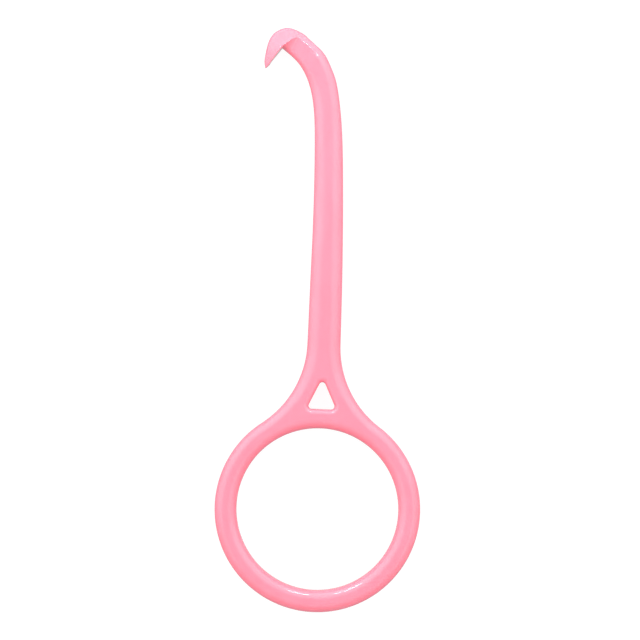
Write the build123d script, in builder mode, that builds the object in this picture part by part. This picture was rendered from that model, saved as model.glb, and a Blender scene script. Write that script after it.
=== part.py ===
from build123d import *
import os
from math import atan2, cos, hypot, radians, sin

# One-piece moulded hook with a finger ring, for lifting clear dental aligners off the teeth.
#
# The whole tool is a single injection moulding: a finger ring, a yoke with a triangular window,
# a slim stem that bends to one side, and a bevelled claw that stands proud of the neck.
#
# Frame, in millimetres: the origin is the centre of the finger ring, half way through its
# thickness. +Y runs from the ring along the stem, +Z is normal to the ring, and the claw bends
# towards -X. Both sides mirror each other about Z = 0, which is the moulding's parting plane.

# ---------------------------------------------------------------- driving dimensions
RING_OUTER_R = 17.65       # finger ring, outside
RING_INNER_R = 13.90       # finger ring, inside
BODY_T = 4.00              # thickness of the ring and the yoke, and of the claw at its crest
NECK_T = 2.60              # thickness of the neck, below the claw
OUTER_EDGE_R = 1.10        # rounding of the outside edges
BORE_EDGE_R = 1.25         # rounding of the ring's inside edges
WINDOW_EDGE_R = 0.55       # rounding of the window's rim

# Yoke: two concave flanks run tangent from the ring into the stem
FLANK_R = 17.10
FLANK_C = (19.953, 28.450)
STEM_START = (2.854, 28.236)

# Triangular window in the yoke, by its sharp corners
WINDOW_BASE_Y = 17.18
WINDOW_HALF_BASE = 2.56
WINDOW_APEX_Y = 22.63
WINDOW_CORNER_R = 0.58

# Stem: stations along its outer edge and along its inner edge, the side that the claw bends to
STEM_OUTER = [(2.720, 38.50), (2.480, 48.00), (2.140, 57.00), (1.600, 65.50), (0.740, 71.60),
              (0.110, 74.10), (-0.700, 76.00), (-1.580, 77.70), (-2.790, 79.11)]
STEM_INNER = [(-2.790, 38.50), (-2.730, 48.00), (-2.800, 56.00), (-3.010, 63.50),
              (-3.560, 69.80), (-4.620, 73.60), (-6.450, 76.55), (-9.000, 78.70)]
STEM_LEAN = 0.0125         # each edge leans in by this much per mm where the stem starts
SHOULDER = (-5.150, 81.090)   # end of the short straight run on the outside of the neck
NECK_CAP = [(-6.450, 81.680), (-7.900, 81.680), (-9.120, 81.020), (-9.600, 79.900)]
NECK_CAP_C = (-8.100, 79.900)  # centre of the last arc of the neck's hidden end
TAPER_START_Y = 26.0       # the stem thins from here ...
TAPER_END_Y = 74.0         # ... to here

# Claw, in plan
CLAW_START = (-6.140, 81.725)
CLAW_OUTER = [(-7.200, 82.170), (-8.500, 82.360), (-9.750, 81.990), (-10.900, 81.130),
              (-11.600, 79.750), (-12.020, 77.800), (-12.140, 76.300)]
CLAW_TIP = (-11.955, 75.264)
CLAW_INNER = [(-11.245, 76.015), (-10.960, 76.577), (-9.247, 78.910)]
CLAW_ROOT = (-6.690, 81.216)   # far end of the crest between the claw and the neck
CLAW_RIM_R = 0.60

# Bevel: each side of the claw is part of a shallow cone
BEVEL_C = (-7.80, 77.90)
CREST_R = 1.70             # radius at which the bevel would reach the claw's full thickness
BEVEL_SLOPE = 0.38         # fall per mm of radius
BEVEL_END_R = 6.50

# Cove: the hollow that rises from the neck to the claw's crest
COVE_LENGTH = 1.30
COVE_TOP = 2.60            # height that the cove would reach inside the claw


def unit(x, y):
    n = hypot(x, y)
    return (x / n, y / n)


# ---------------------------------------------------------------- derived dimensions
foot_angle = atan2(FLANK_C[1], FLANK_C[0])  # where a flank leaves the ring
ring_foot = (RING_OUTER_R * cos(foot_angle), RING_OUTER_R * sin(foot_angle))
flank_mid_angle = (foot_angle + radians(180)
                   + atan2(STEM_START[1] - FLANK_C[1], STEM_START[0] - FLANK_C[0])
                   + radians(360)) / 2
flank_mid = (FLANK_C[0] + FLANK_R * cos(flank_mid_angle),
             FLANK_C[1] + FLANK_R * sin(flank_mid_angle))
neck_dir = unit(SHOULDER[0] - STEM_OUTER[-1][0], SHOULDER[1] - STEM_OUTER[-1][1])
inner_dir = unit(0.80, -0.60)
cap_r = NECK_CAP_C[0] - NECK_CAP[-1][0]
cap_mid_angle = (radians(180) + atan2(STEM_INNER[-1][1] - NECK_CAP_C[1],
                                      STEM_INNER[-1][0] - NECK_CAP_C[0]) + radians(360)) / 2
cap_mid = (NECK_CAP_C[0] + cap_r * cos(cap_mid_angle), NECK_CAP_C[1] + cap_r * sin(cap_mid_angle))
unit_speed = (1, 1)        # size of the end tangents, for chord-length spacing
crest_dir = unit(CLAW_INNER[-1][0] - CLAW_ROOT[0], CLAW_INNER[-1][1] - CLAW_ROOT[1])
crest_normal = (-crest_dir[1], crest_dir[0])        # in plan, from the crest towards the stem
half_body = BODY_T / 2
half_neck = NECK_T / 2

# Plane across the crest: local x runs towards the stem, local y runs up
across_crest = Plane(origin=(CLAW_INNER[-1][0], CLAW_INNER[-1][1], 0),
                     x_dir=(crest_normal[0], crest_normal[1], 0),
                     z_dir=(crest_normal[1], -crest_normal[0], 0))

# ---------------------------------------------------------------- bevel cone, above and below
with BuildPart() as bevel:
    with BuildSketch(Plane(origin=(BEVEL_C[0], BEVEL_C[1], 0), x_dir=(1, 0, 0), z_dir=(0, -1, 0))):
        with BuildLine():
            end_h = half_body - BEVEL_SLOPE * (BEVEL_END_R - CREST_R)
            Polyline((0, -half_body), (CREST_R, -half_body), (BEVEL_END_R, -end_h),
                     (BEVEL_END_R, end_h), (CREST_R, half_body), (0, half_body), close=True)
        make_face()
    revolve(axis=Axis((BEVEL_C[0], BEVEL_C[1], 0), (0, 0, 1)), revolution_arc=360)

# ---------------------------------------------------------------- claw
with BuildPart() as claw:
    with BuildSketch(Plane.XY):
        with BuildLine():
            Spline(CLAW_START, *CLAW_OUTER, CLAW_TIP,
                   tangents=[unit(-0.87, 0.47), unit(0.25, -1)], tangent_scalars=unit_speed)
            Polyline(CLAW_TIP, *CLAW_INNER, CLAW_ROOT, CLAW_START)
        make_face()
    extrude(amount=half_body + 1, both=True)
    add(bevel.part, mode=Mode.INTERSECT)
    claw_rims = claw.edges().filter_by(
        lambda e: e.length > 10 and abs(e.center().Z) > 0.5)
    fillet(claw_rims, CLAW_RIM_R)

# ---------------------------------------------------------------- heights of neck and cove
with BuildPart() as heights:
    with BuildSketch(Plane.YZ):
        with BuildLine():
            Polyline((TAPER_END_Y, -half_neck), (90, -half_neck), (90, half_neck),
                     (TAPER_END_Y, half_neck))
            Spline((TAPER_END_Y, half_neck), (TAPER_START_Y, half_body),
                   tangents=[(-1, 0), (-1, 0)])
            Polyline((TAPER_START_Y, half_body), (-20, half_body), (-20, -half_body),
                     (TAPER_START_Y, -half_body))
            Spline((TAPER_START_Y, -half_body), (TAPER_END_Y, -half_neck),
                   tangents=[(1, 0), (1, 0)])
        make_face()
    extrude(amount=25, both=True)
    with BuildSketch(across_crest):
        with BuildLine():
            Spline((COVE_LENGTH, half_neck), (0, half_body), (-1.5, COVE_TOP),
                   tangents=[(-1, 0), (-1, 0)])
            Polyline((-1.5, COVE_TOP), (-6, COVE_TOP), (-6, -COVE_TOP), (-1.5, -COVE_TOP))
            Spline((-1.5, -COVE_TOP), (0, -half_body), (COVE_LENGTH, -half_neck),
                   tangents=[(1, 0), (1, 0)])
            Line((COVE_LENGTH, -half_neck), (COVE_LENGTH, half_neck))
        make_face()
    extrude(amount=8, both=True)

# ---------------------------------------------------------------- what is trimmed off the neck's end
with BuildPart() as trim:
    with BuildSketch(across_crest):
        with Locations((-4 + COVE_LENGTH / 2 + 0.01, 0)):
            Rectangle(8 + COVE_LENGTH, 8)
        with Locations((-4 + COVE_LENGTH / 2 + 0.01, 0)):
            Rectangle(8 + COVE_LENGTH + 1, NECK_T + 0.001, mode=Mode.SUBTRACT)
        with Locations((-4.05, 0)):
            Rectangle(8, 8)
    extrude(amount=8, both=True)
    add(bevel.part, mode=Mode.SUBTRACT)

# ---------------------------------------------------------------- the moulding
with BuildPart() as aligner_hook:
    with BuildSketch(Plane.XY) as plan:
        with BuildLine():
            ThreePointArc((-ring_foot[0], ring_foot[1]), (0, -RING_OUTER_R), ring_foot)
            ThreePointArc(ring_foot, flank_mid, STEM_START)
            Spline(STEM_START, *STEM_OUTER, tangents=[unit(-STEM_LEAN, 1), neck_dir],
                   tangent_scalars=unit_speed)
            Line(STEM_OUTER[-1], SHOULDER)
            # from here the end of the neck lies inside the claw
            Spline(SHOULDER, *NECK_CAP, tangents=[neck_dir, (0, -1)], tangent_scalars=unit_speed)
            ThreePointArc(NECK_CAP[-1], cap_mid, STEM_INNER[-1])
            Spline(STEM_INNER[-1], *reversed(STEM_INNER[:-1]), (-STEM_START[0], STEM_START[1]),
                   tangents=[inner_dir, unit(-STEM_LEAN, -1)], tangent_scalars=unit_speed)
            ThreePointArc((-STEM_START[0], STEM_START[1]), (-flank_mid[0], flank_mid[1]),
                          (-ring_foot[0], ring_foot[1]))
        make_face()
        Circle(RING_INNER_R, mode=Mode.SUBTRACT)
        with BuildLine():
            FilletPolyline((-WINDOW_HALF_BASE, WINDOW_BASE_Y), (WINDOW_HALF_BASE, WINDOW_BASE_Y),
                           (0, WINDOW_APEX_Y), radius=WINDOW_CORNER_R, close=True)
        make_face(mode=Mode.SUBTRACT)
    extrude(amount=COVE_TOP + 0.5, both=True)
    add(heights.part, mode=Mode.INTERSECT)

    # rounded rims: every edge of an upright wall that isn't itself upright
    walls = aligner_hook.faces().filter_by(lambda f: abs(f.normal_at().Z) < 1e-4)
    wall_edges = walls.edges()
    rims = aligner_hook.edges().filter_by(
        lambda e: e in wall_edges and abs(e.center().Z) > 0.1
        and (e.bounding_box().size.X > 1e-3 or e.bounding_box().size.Y > 1e-3))
    window_rims = rims.filter_by(
        lambda e: e.bounding_box().size.X < 5 and e.bounding_box().max.Y < WINDOW_APEX_Y
        and e.bounding_box().min.Y > WINDOW_BASE_Y - 0.1 and abs(e.center().X) < 2.6)
    bore_rims = rims.filter_by(
        lambda e: e.geom_type == GeomType.CIRCLE and abs(e.radius - RING_INNER_R) < 1e-3)
    outer_rims = ShapeList(e for e in rims if e not in window_rims and e not in bore_rims)
    fillet(outer_rims, OUTER_EDGE_R)
    fillet(aligner_hook.edges().filter_by(
        lambda e: any((e.center() - o.center()).length < 1e-4 for o in bore_rims)), BORE_EDGE_R)
    fillet(aligner_hook.edges().filter_by(
        lambda e: any((e.center() - o.center()).length < 1e-4 for o in window_rims)), WINDOW_EDGE_R)
    add(trim.part, mode=Mode.SUBTRACT)
    add(claw.part)

aligner_hook.part.label = "aligner_hook"
print("solids", len(aligner_hook.solids()), "valid", aligner_hook.part.is_valid,
      "volume", round(aligner_hook.part.volume, 1), aligner_hook.part.bounding_box())

os.makedirs("parts", exist_ok=True)
export_step(aligner_hook.part, "parts/aligner_hook.step")
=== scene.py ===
import math

import bpy
import numpy as np
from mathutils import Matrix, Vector


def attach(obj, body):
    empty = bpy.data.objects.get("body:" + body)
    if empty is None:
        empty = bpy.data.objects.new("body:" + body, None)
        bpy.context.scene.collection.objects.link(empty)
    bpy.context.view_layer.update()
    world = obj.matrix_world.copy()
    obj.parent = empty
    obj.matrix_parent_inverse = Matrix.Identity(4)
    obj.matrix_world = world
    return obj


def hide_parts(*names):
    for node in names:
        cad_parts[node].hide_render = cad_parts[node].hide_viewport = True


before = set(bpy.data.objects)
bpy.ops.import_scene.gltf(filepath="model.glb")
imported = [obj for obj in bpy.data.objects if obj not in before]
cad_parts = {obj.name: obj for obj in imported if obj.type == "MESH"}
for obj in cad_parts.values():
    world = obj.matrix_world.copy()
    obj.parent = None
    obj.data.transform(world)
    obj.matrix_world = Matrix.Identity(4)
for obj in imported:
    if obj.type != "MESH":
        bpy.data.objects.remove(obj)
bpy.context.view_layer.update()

# =====================================================================================
# The moulding's plan, in millimetres: ring centre at the origin, +Y along the stem.
# These are the CAD part's own stations, so the visual skin lies on the CAD solid.
# =====================================================================================
RING_R, BORE_R = 17.65, 13.90
HALF_T, HALF_NECK = 2.00, 1.30
FLANK_R, FLANK_C = 17.10, (19.953, 28.450)
STEM_START = (2.854, 28.236)
STEM_OUTER = [(2.720, 38.50), (2.480, 48.00), (2.140, 57.00), (1.600, 65.50), (0.740, 71.60),
              (0.110, 74.10), (-0.700, 76.00), (-1.580, 77.70), (-2.790, 79.11)]
STEM_INNER = [(-2.790, 38.50), (-2.730, 48.00), (-2.800, 56.00), (-3.010, 63.50),
              (-3.560, 69.80), (-4.620, 73.60), (-6.450, 76.55), (-9.000, 78.70)]
SHOULDER = (-5.150, 81.090)
NECK_CAP = [(-6.450, 81.680), (-7.900, 81.680), (-9.120, 81.020), (-9.600, 79.900)]
CLAW_OUTER = [(-6.140, 81.725), (-7.200, 82.170), (-8.500, 82.360), (-9.750, 81.990),
              (-10.900, 81.130), (-11.600, 79.750), (-12.020, 77.800), (-12.140, 76.300)]
CLAW_TIP = (-11.955, 75.264)
CLAW_INNER = [(-11.245, 76.015), (-10.960, 76.577), (-9.247, 78.910)]
CLAW_ROOT = (-6.690, 81.216)
BEVEL_C, CREST_R, BEVEL_SLOPE = (-7.80, 77.90), 1.85, 0.38
WINDOW = [(-2.56, 17.18), (2.56, 17.18), (0.0, 22.63)]
WINDOW_CORNER_R = 0.58


def unit(x, y):
    n = math.hypot(x, y)
    return (x / n, y / n)


def spline(pts, t0, t1, step=0.10):
    """C2 cubic through pts with chord-length spacing and unit end tangents, as a dense polyline."""
    p = np.array(pts, float)
    h = np.hypot(*np.diff(p, axis=0).T)
    n = len(p)
    a, b = np.zeros((n, n)), np.zeros((n, 2))
    a[0, 0] = a[-1, -1] = 1
    b[0], b[-1] = t0, t1
    for i in range(1, n - 1):
        a[i, i - 1], a[i, i], a[i, i + 1] = h[i], 2 * (h[i - 1] + h[i]), h[i - 1]
        b[i] = 3 * (h[i] * (p[i] - p[i - 1]) / h[i - 1] + h[i - 1] * (p[i + 1] - p[i]) / h[i])
    m = np.linalg.solve(a, b)
    out = []
    for i in range(n - 1):
        k = max(4, int(math.ceil(h[i] / step)))
        t = (np.arange(k) / k)[:, None]
        out.append((2 * t**3 - 3 * t**2 + 1) * p[i] + (t**3 - 2 * t**2 + t) * h[i] * m[i]
                   + (-2 * t**3 + 3 * t**2) * p[i + 1] + (t**3 - t**2) * h[i] * m[i + 1])
    out.append(p[-1:])
    return np.vstack(out)


def arc(c, r, a0, a1, step=0.10):
    k = max(6, int(math.ceil(abs(a1 - a0) * r / step)))
    t = np.linspace(a0, a1, k + 1)
    return np.c_[c[0] + r * np.cos(t), c[1] + r * np.sin(t)]


def rounded_polygon(pts, r, step=0.04):
    """Closed polygon, counter-clockwise, with every corner rounded."""
    p, out = np.array(pts, float), []
    for i in range(len(p)):
        a, b, c = p[i - 1], p[i], p[(i + 1) % len(p)]
        u, v = (a - b) / np.hypot(*(a - b)), (c - b) / np.hypot(*(c - b))
        half = math.acos(np.clip(u @ v, -1, 1)) / 2
        o = b + (u + v) / np.hypot(*(u + v)) * r / math.sin(half)
        s = b + u * r / math.tan(half) - o
        e = b + v * r / math.tan(half) - o
        a0 = math.atan2(s[1], s[0])
        a1 = a0 + (math.atan2(e[1], e[0]) - a0) % (2 * math.pi)
        out.append(arc(o, r, a0, a1, step))
    return np.vstack(out)


foot = math.atan2(FLANK_C[1], FLANK_C[0])
neck_dir = unit(SHOULDER[0] - STEM_OUTER[-1][0], SHOULDER[1] - STEM_OUTER[-1][1])
start_angle = math.atan2(STEM_START[1] - FLANK_C[1], STEM_START[0] - FLANK_C[0]) % (2 * math.pi)

flank = arc(FLANK_C, FLANK_R, foot + math.pi, start_angle)
body_outline = np.vstack([
    arc((0, 0), RING_R, -math.pi - foot, foot)[:-1],
    flank[:-1],
    spline([STEM_START] + STEM_OUTER, unit(-0.0125, 1), neck_dir)[:-1],
    np.linspace(STEM_OUTER[-1], SHOULDER, 30)[:-1],
    spline([SHOULDER] + NECK_CAP, neck_dir, (0, -1), 0.05)[:-1],
    arc((-8.1, 79.9), 1.5, math.pi, math.pi + math.atan2(1.2, 0.9), 0.05)[:-1],
    spline([STEM_INNER[-1]] + STEM_INNER[-2::-1] + [(-STEM_START[0], STEM_START[1])],
           unit(0.80, -0.60), unit(-0.0125, -1))[:-1],
    (flank * (-1, 1))[::-1][:-1],
])
window_outline = rounded_polygon(WINDOW, WINDOW_CORNER_R)
claw_outer = np.vstack([
    np.linspace((-2.790, 79.11), SHOULDER, 8)[:-1],
    spline([SHOULDER] + CLAW_OUTER + [CLAW_TIP], neck_dir, unit(0.25, -1), 0.06),
    np.array(CLAW_TIP) + 4 * np.array(unit(0.25, -1)),
])
crest_dir = np.array(unit(CLAW_INNER[-1][0] - CLAW_ROOT[0], CLAW_INNER[-1][1] - CLAW_ROOT[1]))
crest_normal = np.array((-crest_dir[1], crest_dir[0]))          # from the crest towards the stem
claw_inner = np.vstack([
    np.array(CLAW_TIP) + 4 * np.array(unit(CLAW_TIP[0] - CLAW_INNER[0][0], CLAW_TIP[1] - CLAW_INNER[0][1])),
    CLAW_TIP, *CLAW_INNER, CLAW_ROOT,
    np.array(SHOULDER) + (0.10, -0.10),
    np.array(SHOULDER) + (4.0, 3.0),
])


# =====================================================================================
# Signed distance field of the moulding
# =====================================================================================
def plan_distance(line, pts, closed=True):
    """Signed distance in plan from pts to a polyline whose left side is solid: negative inside."""
    v = np.vstack([line, line[:1]]) if closed else line
    a, b = v[:-1], v[1:]
    ab = b - a
    ln = np.hypot(*ab.T)
    nrm = np.c_[ab[:, 1], -ab[:, 0]] / ln[:, None]                # points out of the solid
    at_a = nrm + (np.roll(nrm, 1, 0) if closed else np.vstack([nrm[:1], nrm[:-1]]))
    at_b = nrm + (np.roll(nrm, -1, 0) if closed else np.vstack([nrm[1:], nrm[-1:]]))
    mid = (a + b) / 2
    out = np.empty(len(pts))
    cell = np.floor(pts / 3.0).astype(int)
    key = (cell[:, 0] + 1000) * 100000 + cell[:, 1] + 1000
    order = np.argsort(key, kind="stable")
    cuts = np.flatnonzero(np.diff(key[order])) + 1
    for idx in np.split(order, cuts):
        p = pts[idx]
        c = (p.min(0) + p.max(0)) / 2
        rad = np.hypot(*(p - c).T).max()
        dm = np.hypot(*(mid - c).T)
        use = np.flatnonzero(dm - ln / 2 <= (dm + ln / 2).min() + 2 * rad + 1e-6)
        for j in range(0, len(p), 4000):
            q = p[j:j + 4000]
            w = q[:, None] - a[use][None]
            t = np.clip((w * ab[use]).sum(2) / (ln[use] ** 2), 0, 1)
            e = w - t[..., None] * ab[use]
            d2 = (e ** 2).sum(2)
            k = d2.argmin(1)
            r = np.arange(len(q))
            tk, ek, s = t[r, k], e[r, k], use[k]
            n = np.where((tk <= 0)[:, None], at_a[s], np.where((tk >= 1)[:, None], at_b[s], nrm[s]))
            out[idx[j:j + 4000]] = np.sqrt(d2[r, k]) * np.where((ek * n).sum(1) < 0, -1, 1)
    return out


def smooth(t):
    t = np.clip(t, 0, 1)
    return t * t * (3 - 2 * t)


def rounded(a, b, r):
    """Intersection of two half-spaces with a rounded edge of radius r."""
    ar, br = a + r, b + r
    return np.minimum(np.maximum(ar, br), 0) + np.hypot(np.maximum(ar, 0), np.maximum(br, 0)) - r


def cone(x, y):
    rho = np.hypot(x - BEVEL_C[0], y - BEVEL_C[1])
    return HALF_T - BEVEL_SLOPE * np.maximum(rho - CREST_R, 0)


NECK_END, CHAMFER_WIDE, CHAMFER_SLOPE = 1.06, 1.02, 0.54
across = (neck_dir[1], -neck_dir[0])                            # out of the neck at the claw's root


def slant(x, y):
    """Height of the neck's chamfer, carried on as a plane over the root of the claw."""
    off = (x - SHOULDER[0]) * across[0] + (y - SHOULDER[1]) * across[1]
    return NECK_END - CHAMFER_SLOPE * (CHAMFER_WIDE + off)


COVE_POWER = 2.0


def plan_terms(x, y):
    """Everything that doesn't depend on height, at plan points x, y."""
    p = np.c_[x, y]
    t = {}
    t["outer"] = plan_distance(body_outline, p)
    t["bore"] = BORE_R - np.hypot(x, y)
    near = (np.abs(x) < 6) & (y > 13) & (y < 27)
    w = np.full(len(x), -5.0)
    if near.any():
        w[near] = -plan_distance(window_outline, p[near])
    t["window"] = w
    h = HALF_T + (HALF_NECK - HALF_T) * smooth((y - 26) / 48) + (NECK_END - HALF_NECK) * smooth((y - 66) / 13)
    grade = np.ones(len(x))
    u = (p - CLAW_INNER[-1]) @ crest_normal
    s = np.clip((p - CLAW_ROOT) @ crest_dir, -1.5, 3.6)
    crest = np.array(CLAW_ROOT) + s[:, None] * crest_dir
    top = cone(crest[:, 0], crest[:, 1])
    at_claw = (y > 74) & (x < -3)
    rise = np.maximum(top - 0.04 - h, 0)
    run = 0.12 + 1.60 * rise
    q = np.clip(1 - u / run, 0, 1)
    slope = rise * COVE_POWER / run * q ** (COVE_POWER - 1)
    grade = np.where(at_claw & (u < run), np.sqrt(1 + slope ** 2), grade)
    h = np.where(at_claw, h + rise * q ** COVE_POWER, h)
    # past the crest the neck's end stays under the claw's bevel
    under = np.minimum(cone(x, y), slant(x, y)) - 0.45 * smooth(-u / 0.8)
    h = np.where(at_claw & (u < 0), np.minimum(h, under), h)
    t["h"], t["grade"] = h, grade
    # the stem is crowned nearly across its whole width, the ring a little less, the hook's inner side least
    wide = 1.62 + 0.78 * smooth((y - 12) / 14) - 0.45 * smooth((y - 54) / 12)
    outside = smooth((np.hypot(x + 9.5, y - 70.5) - 7.8) / 2.2)
    t["wide"] = wide + (1.05 + 0.75 * outside - wide) * smooth((y - 72) / 5)
    t["deep"] = 1.45 - 0.30 * smooth((y - 60) / 14)
    t["chamfer"] = outside * smooth((y - 77.9) / 1.6)
    claw = (x < -4.5) & (y > 73)
    co, ci = np.full(len(x), 9.0), np.full(len(x), 9.0)
    if claw.any():
        co[claw] = plan_distance(claw_outer, p[claw], closed=False)
        ci[claw] = plan_distance(claw_inner, p[claw], closed=False)
    t["claw_outer"], t["claw_inner"] = co, ci
    t["cone"], t["slant"] = cone(x, y), slant(x, y)
    t["claw_r"] = 0.42 - 0.12 * smooth((78.5 - y) / 3.0)
    return t


BORE_EDGE, WINDOW_EDGE, CREST_EDGE_R, BLEND = (1.70, 1.45), (0.90, 0.75), 0.13, 0.16


def rim(a, b, wide, deep):
    """Edge rounded over `wide` mm in plan and `deep` mm in height."""
    return rounded(a * deep / wide, b, deep)


def field(t, z):
    """Signed distance at height z over the plan terms t."""
    b = (np.abs(z) - t["h"]) / t["grade"]
    side = rim(t["outer"], b, t["wide"], t["deep"])
    # the neck's outer side turns from a crowned rim into a narrow chamfer where it meets the claw's bevel
    flat = (np.abs(z) - t["slant"]) / math.hypot(1, CHAMFER_SLOPE)
    cut = rounded(t["outer"], rounded(b, flat, 0.055), 0.40)
    side = side + (cut - side) * t["chamfer"]
    body = np.maximum(np.maximum(side, rim(t["bore"], b, *BORE_EDGE)), rim(t["window"], b, *WINDOW_EDGE))
    bc = rounded((np.abs(z) - t["cone"]) / math.hypot(1, BEVEL_SLOPE),
                 (np.abs(z) - t["slant"]) / math.hypot(1, CHAMFER_SLOPE), 0.13)
    claw = np.maximum(rounded(t["claw_outer"], bc, t["claw_r"]), rounded(t["claw_inner"], bc, CREST_EDGE_R))
    m = np.clip(0.5 + 0.5 * (body - claw) / BLEND, 0, 1)
    return body + (claw - body) * m - BLEND * m * (1 - m)


def field_at(p):
    return field(plan_terms(p[:, 0], p[:, 1]), p[:, 2])


def gradient_at(p, eps=0.004):
    g = np.empty_like(p)
    for k in (0, 1):
        e = np.zeros(3)
        e[k] = eps
        g[:, k] = field_at(p + e) - field_at(p - e)
    t = plan_terms(p[:, 0], p[:, 1])
    g[:, 2] = field(t, p[:, 2] + eps) - field(t, p[:, 2] - eps)
    return g / (2 * eps), field(t, p[:, 2])


def project(p, rounds=3):
    """Moves points onto the surface along the field's gradient."""
    p = p.copy()
    for _ in range(rounds):
        g, f = gradient_at(p)
        step = f[:, None] * g / np.maximum((g ** 2).sum(1), 0.05)[:, None]
        size = np.linalg.norm(step, axis=1)
        p -= step * np.minimum(1, 0.15 / np.maximum(size, 1e-9))[:, None]
    return p


def stations(lo, hi, coarse, fine, f0, f1, ramp=2.5):
    """Grid lines from lo to hi, fine between f0 and f1 and coarse elsewhere."""
    out = [lo]
    while out[-1] < hi:
        away = max(f0 - out[-1], out[-1] - f1, 0)
        out.append(out[-1] + fine + (coarse - fine) * float(smooth(away / ramp)))
    return np.array(out)


def surface_nets(xs, ys, zs):
    """A closed quad mesh of the field's zero surface; zs is symmetric about 0 and has no 0."""
    nx, ny, nz = len(xs), len(ys), len(zs)
    gx, gy = (g.ravel() for g in np.meshgrid(xs, ys, indexing="ij"))
    terms = plan_terms(gx, gy)
    f = np.empty((nx, ny, nz))
    for k in range(nz // 2):
        f[:, :, k] = field(terms, np.full(gx.shape, zs[k])).reshape(nx, ny)
        f[:, :, nz - 1 - k] = f[:, :, k]
    inside = f < 0
    # cells that the surface passes through, and the mean of their edge crossings
    corner = [(i, j, k) for i in (0, 1) for j in (0, 1) for k in (0, 1)]
    count = sum(inside[c[0]:nx - 1 + c[0], c[1]:ny - 1 + c[1], c[2]:nz - 1 + c[2]].astype(np.int8) for c in corner)
    active = (count > 0) & (count < 8)
    ci, cj, ck = np.nonzero(active)
    index = np.full(active.shape, -1)
    index[ci, cj, ck] = np.arange(len(ci))
    total, hits = np.zeros((len(ci), 3)), np.zeros(len(ci))
    for c in corner:
        for ax in range(3):
            if c[ax]:
                continue
            d = [c[0], c[1], c[2]]
            d[ax] = 1
            fa = f[ci + c[0], cj + c[1], ck + c[2]]
            fb = f[ci + d[0], cj + d[1], ck + d[2]]
            cross = (fa < 0) != (fb < 0)
            pos = np.array(c, float)[None].repeat(len(ci), 0)
            pos[:, ax] = np.where(cross, fa / np.where(cross, fa - fb, 1), 0)
            total += np.where(cross[:, None], pos, 0)
            hits += cross
    local = total / hits[:, None]
    at = (ci, cj, ck)
    verts = np.stack([g[at[k]] + local[:, k] * (g[at[k] + 1] - g[at[k]]) for k, g in enumerate((xs, ys, zs))], 1)
    quads = []
    for ax in range(3):
        o = [k for k in range(3) if k != ax]
        a = np.take(inside, range(inside.shape[ax] - 1), ax)
        b = np.take(inside, range(1, inside.shape[ax]), ax)
        e = np.argwhere(a != b)
        out = a[tuple(e.T)]
        ring = []
        for du, dv in ((0, 0), (1, 0), (1, 1), (0, 1)):
            q = e.copy()
            q[:, o[0]] -= du
            q[:, o[1]] -= dv
            ring.append(index[tuple(q.T)])
        q = np.stack(ring, 1)
        flip = out if ax != 1 else ~out
        q[~flip] = q[~flip][:, ::-1]
        quads.append(q)
    # the lower half mirrors the upper half exactly
    upper = np.flatnonzero(ck >= nz // 2 - 1)
    verts[upper] = project(verts[upper])
    middle = ck == nz // 2 - 1
    verts[middle, 2] = 0
    lower = np.flatnonzero(ck < nz // 2 - 1)
    twin = index[ci[lower], cj[lower], nz - 2 - ck[lower]]
    verts[lower] = verts[twin] * (1, 1, -1)
    return verts, np.vstack(quads)


X_LINES = stations(-18.0, 18.0, 0.215, 0.105, -12.5, -3.0)
Y_LINES = stations(-18.0, 82.7, 0.215, 0.105, 74.0, 83.0)
Z_LINES = 0.182 * (np.arange(24) - 11.5)
verts, quads = surface_nets(X_LINES, Y_LINES, Z_LINES)

mesh = bpy.data.meshes.new("hook_skin")
mesh.from_pydata((verts / 1000).tolist(), [], quads.tolist())
mesh.polygons.foreach_set("use_smooth", [True] * len(mesh.polygons))
mesh.validate()
mesh.update()
slope, _ = gradient_at(verts)
slope /= np.linalg.norm(slope, axis=1)[:, None]
mesh.normals_split_custom_set_from_vertices(slope.tolist())
hook = bpy.data.objects.new("hook_skin", mesh)
bpy.context.scene.collection.objects.link(hook)


# =====================================================================================
# Materials
# =====================================================================================
def node(tree, kind, x=0, y=0, **settings):
    n = tree.nodes.new(kind)
    n.location = (x, y)
    for k, v in settings.items():
        setattr(n, k, v)
    return n


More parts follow.
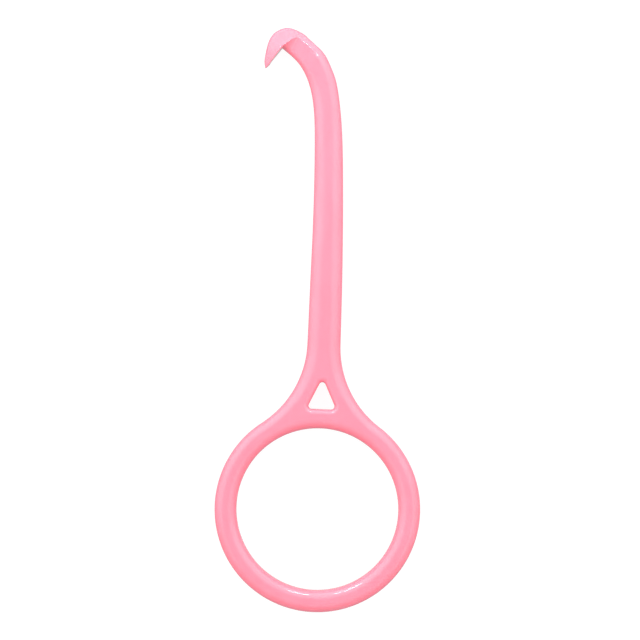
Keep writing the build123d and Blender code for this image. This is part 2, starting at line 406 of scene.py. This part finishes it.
def pink_plastic():
    """Glossy, slightly translucent moulded plastic with faint pigment flow and polish marks."""
    m = bpy.data.materials.new("pink_plastic")
    m.use_nodes = True
    t = m.node_tree
    t.nodes.clear()
    out = node(t, "ShaderNodeOutputMaterial", 900)
    bsdf = node(t, "ShaderNodeBsdfPrincipled", 600)
    t.links.new(bsdf.outputs["BSDF"], out.inputs["Surface"])
    coord = node(t, "ShaderNodeTexCoord", -900)
    # pigment flow: long soft streaks along the stem
    stretch = node(t, "ShaderNodeMapping", -700, 250)
    stretch.inputs["Scale"].default_value = (1.0, 0.35, 1.0)
    t.links.new(coord.outputs["Object"], stretch.inputs["Vector"])
    flow = node(t, "ShaderNodeTexNoise", -500, 250)
    flow.inputs["Scale"].default_value = 220
    flow.inputs["Detail"].default_value = 3
    flow.inputs["Roughness"].default_value = 0.45
    flow.inputs["Distortion"].default_value = 0.6
    t.links.new(stretch.outputs["Vector"], flow.inputs["Vector"])
    tint = node(t, "ShaderNodeValToRGB", -250, 250)
    tint.color_ramp.elements[0].position, tint.color_ramp.elements[1].position = 0.30, 0.70
    tint.color_ramp.elements[0].color = (0.965, 0.214, 0.287, 1)
    tint.color_ramp.elements[1].color = (0.980, 0.231, 0.308, 1)
    t.links.new(flow.outputs["Fac"], tint.inputs["Fac"])
    t.links.new(tint.outputs["Color"], bsdf.inputs["Base Color"])
    # polish: small patches that are a little less glossy
    haze = node(t, "ShaderNodeTexNoise", -500, -50)
    haze.inputs["Scale"].default_value = 900
    haze.inputs["Detail"].default_value = 4
    t.links.new(coord.outputs["Object"], haze.inputs["Vector"])
    rough = node(t, "ShaderNodeMapRange", -250, -50)
    rough.inputs["From Min"].default_value, rough.inputs["From Max"].default_value = 0.30, 0.70
    rough.inputs["To Min"].default_value, rough.inputs["To Max"].default_value = 0.085, 0.115
    t.links.new(haze.outputs["Fac"], rough.inputs["Value"])
    t.links.new(rough.outputs["Result"], bsdf.inputs["Roughness"])
    # moulded skin: very shallow ripple
    ripple = node(t, "ShaderNodeTexNoise", -500, -350)
    ripple.inputs["Scale"].default_value = 1400
    ripple.inputs["Detail"].default_value = 2
    t.links.new(coord.outputs["Object"], ripple.inputs["Vector"])
    bump = node(t, "ShaderNodeBump", -250, -350)
    bump.inputs["Strength"].default_value = 0.03
    bump.inputs["Distance"].default_value = 0.00003
    t.links.new(ripple.outputs["Fac"], bump.inputs["Height"])
    t.links.new(bump.outputs["Normal"], bsdf.inputs["Normal"])
    bsdf.inputs["IOR"].default_value = 1.60
    bsdf.inputs["Subsurface Weight"].default_value = 0.28
    bsdf.inputs["Subsurface Radius"].default_value = (1.0, 0.30, 0.38)
    bsdf.inputs["Subsurface Scale"].default_value = 0.0011
    return m


def pale_floor():
    """A white light table: mostly its own even glow, so the moulding's shadow stays faint."""
    m = bpy.data.materials.new("studio_floor")
    m.use_nodes = True
    bsdf = m.node_tree.nodes["Principled BSDF"]
    bsdf.inputs["Base Color"].default_value = (0.12, 0.12, 0.12, 1)
    bsdf.inputs["Roughness"].default_value = 0.9
    bsdf.inputs["Specular IOR Level"].default_value = 0.0
    bsdf.inputs["Emission Color"].default_value = (1, 1, 1, 1)
    bsdf.inputs["Emission Strength"].default_value = 0.93
    return m


hook.data.materials.append(pink_plastic())
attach(hook, "root")
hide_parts("aligner_hook")

# =====================================================================================
# Floor, light and camera
# =====================================================================================
FLOOR_Z = -0.00201
rim = 128
floor_mesh = bpy.data.meshes.new("studio_floor")
floor_mesh.from_pydata(
    [(25 * math.cos(2 * math.pi * k / rim), 25 * math.sin(2 * math.pi * k / rim), FLOOR_Z) for k in range(rim)],
    [], [list(range(rim))])
floor = bpy.data.objects.new("studio_floor", floor_mesh)
bpy.context.scene.collection.objects.link(floor)
floor.data.materials.append(pale_floor())
# the moulding takes its light from below from the sky's own dim underside
floor.visible_diffuse = floor.visible_glossy = False

scene = bpy.context.scene
scene.view_settings.view_transform = "Standard"

world = bpy.data.worlds.new("studio")
scene.world = world
world.use_nodes = True
wt = world.node_tree
wt.nodes.clear()
w_out = node(wt, "ShaderNodeOutputWorld", 1400)
w_bg = node(wt, "ShaderNodeBackground", 1200)
w_co = node(wt, "ShaderNodeTexCoord", -1200)
wt.links.new(w_bg.outputs["Background"], w_out.inputs["Surface"])


def w_math(op, a, b=None, c=None):
    n = node(wt, "ShaderNodeMath", operation=op)
    for k, v in enumerate((a, b, c)):
        if isinstance(v, (int, float)):
            n.inputs[k].default_value = v
        elif v is not None:
            wt.links.new(v, n.inputs[k])
    return n.outputs[0]


def w_dot(azimuth, elevation):
    """Cosine of the angle between the sky direction and a point of the sky."""
    az, el = math.radians(azimuth), math.radians(elevation)
    n = node(wt, "ShaderNodeVectorMath", operation="DOT_PRODUCT")
    wt.links.new(w_co.outputs["Generated"], n.inputs[0])
    n.inputs[1].default_value = (math.sin(az) * math.cos(el), math.cos(az) * math.cos(el), math.sin(el))
    return n.outputs["Value"]


def w_step(value, lo, hi, at_lo, at_hi):
    n = node(wt, "ShaderNodeMapRange", interpolation_type="SMOOTHSTEP")
    for k, v in zip(("From Min", "From Max", "To Min", "To Max"), (lo, hi, at_lo, at_hi)):
        n.inputs[k].default_value = v
    wt.links.new(value, n.inputs["Value"])
    return n.outputs["Result"]


def w_glow(azimuth, elevation, width, strength):
    """A soft round patch of light, `width` degrees to its half-way point."""
    k = 1 / math.radians(width) ** 2
    return w_math("MULTIPLY", w_math("EXPONENT", w_math("MULTIPLY_ADD", w_dot(azimuth, elevation), k, -k)), strength)


SKY_LOW, SKY_HIGH, SKY_AZ, SKY_POWER = 0.58, 1.60, -6, 1.7
up = w_dot(0, 90)
wall = w_math("POWER", w_math("MULTIPLY_ADD", w_dot(SKY_AZ, 0), 0.5, 0.5), SKY_POWER)
wall = w_math("MULTIPLY", wall, w_step(up, 0.5, 0.9, SKY_HIGH, 0.5 * SKY_HIGH))
sky = w_math("ADD", wall, SKY_LOW)
for patch in ((-88, 56, 22, 0.76), (85, 60, 22, 0.75), (-48, 34, 22, 0.72), (46, 38, 20, 0.58)):
    sky = w_math("ADD", sky, w_glow(*patch))
# the camera hangs overhead, in a dark gap between the lights
sky = w_math("MULTIPLY", sky, w_step(up, 0.90, 0.985, 1, 0.35))
# the horizon is an even pale backdrop
mix = w_step(up, 0.07, 0.20, 0, 1)
sky = w_math("MULTIPLY_ADD", w_math("SUBTRACT", sky, 1.0), mix, 1.0)
sky = w_math("MULTIPLY", sky, w_step(up, -0.12, -0.02, 0.60, 1))
wt.links.new(sky, w_bg.inputs["Strength"])
w_bg.inputs["Color"].default_value = (1, 1, 1, 1)

AIM = Vector((0, 0.032, 0))


def softbox(name, azimuth, elevation, distance, width, height, radiance):
    """Rectangular lamp aimed at the object; azimuth is in degrees clockwise from +Y, seen from above."""
    az, el = math.radians(azimuth), math.radians(elevation)
    d = Vector((math.sin(az) * math.cos(el), math.cos(az) * math.cos(el), math.sin(el)))
    lamp = bpy.data.lights.new(name, "AREA")
    lamp.shape = "RECTANGLE"
    lamp.size, lamp.size_y = width, height
    lamp.energy = radiance * math.pi * width * height
    ob = bpy.data.objects.new(name, lamp)
    scene.collection.objects.link(ob)
    ob.location = AIM + d * distance
    ob.rotation_euler = d.to_track_quat("Z", "Y").to_euler()
    ob.visible_camera = False
    return ob


softbox("lamp_right", 15.2, 43.4, 0.179, 0.050, 0.0205, 25)
softbox("lamp_left", -30.6, 43.1, 0.178, 0.060, 0.0200, 20)

camera_data = bpy.data.cameras.new("camera")
camera_data.sensor_width = 36
camera_data.lens = 163.7
camera_data.clip_start, camera_data.clip_end = 0.01, 100
camera = bpy.data.objects.new("camera", camera_data)
scene.collection.objects.link(camera)
camera.location = (-0.00085, 0.03249, 0.5)
camera.rotation_euler = (0, 0, math.radians(2.3))
scene.camera = camera
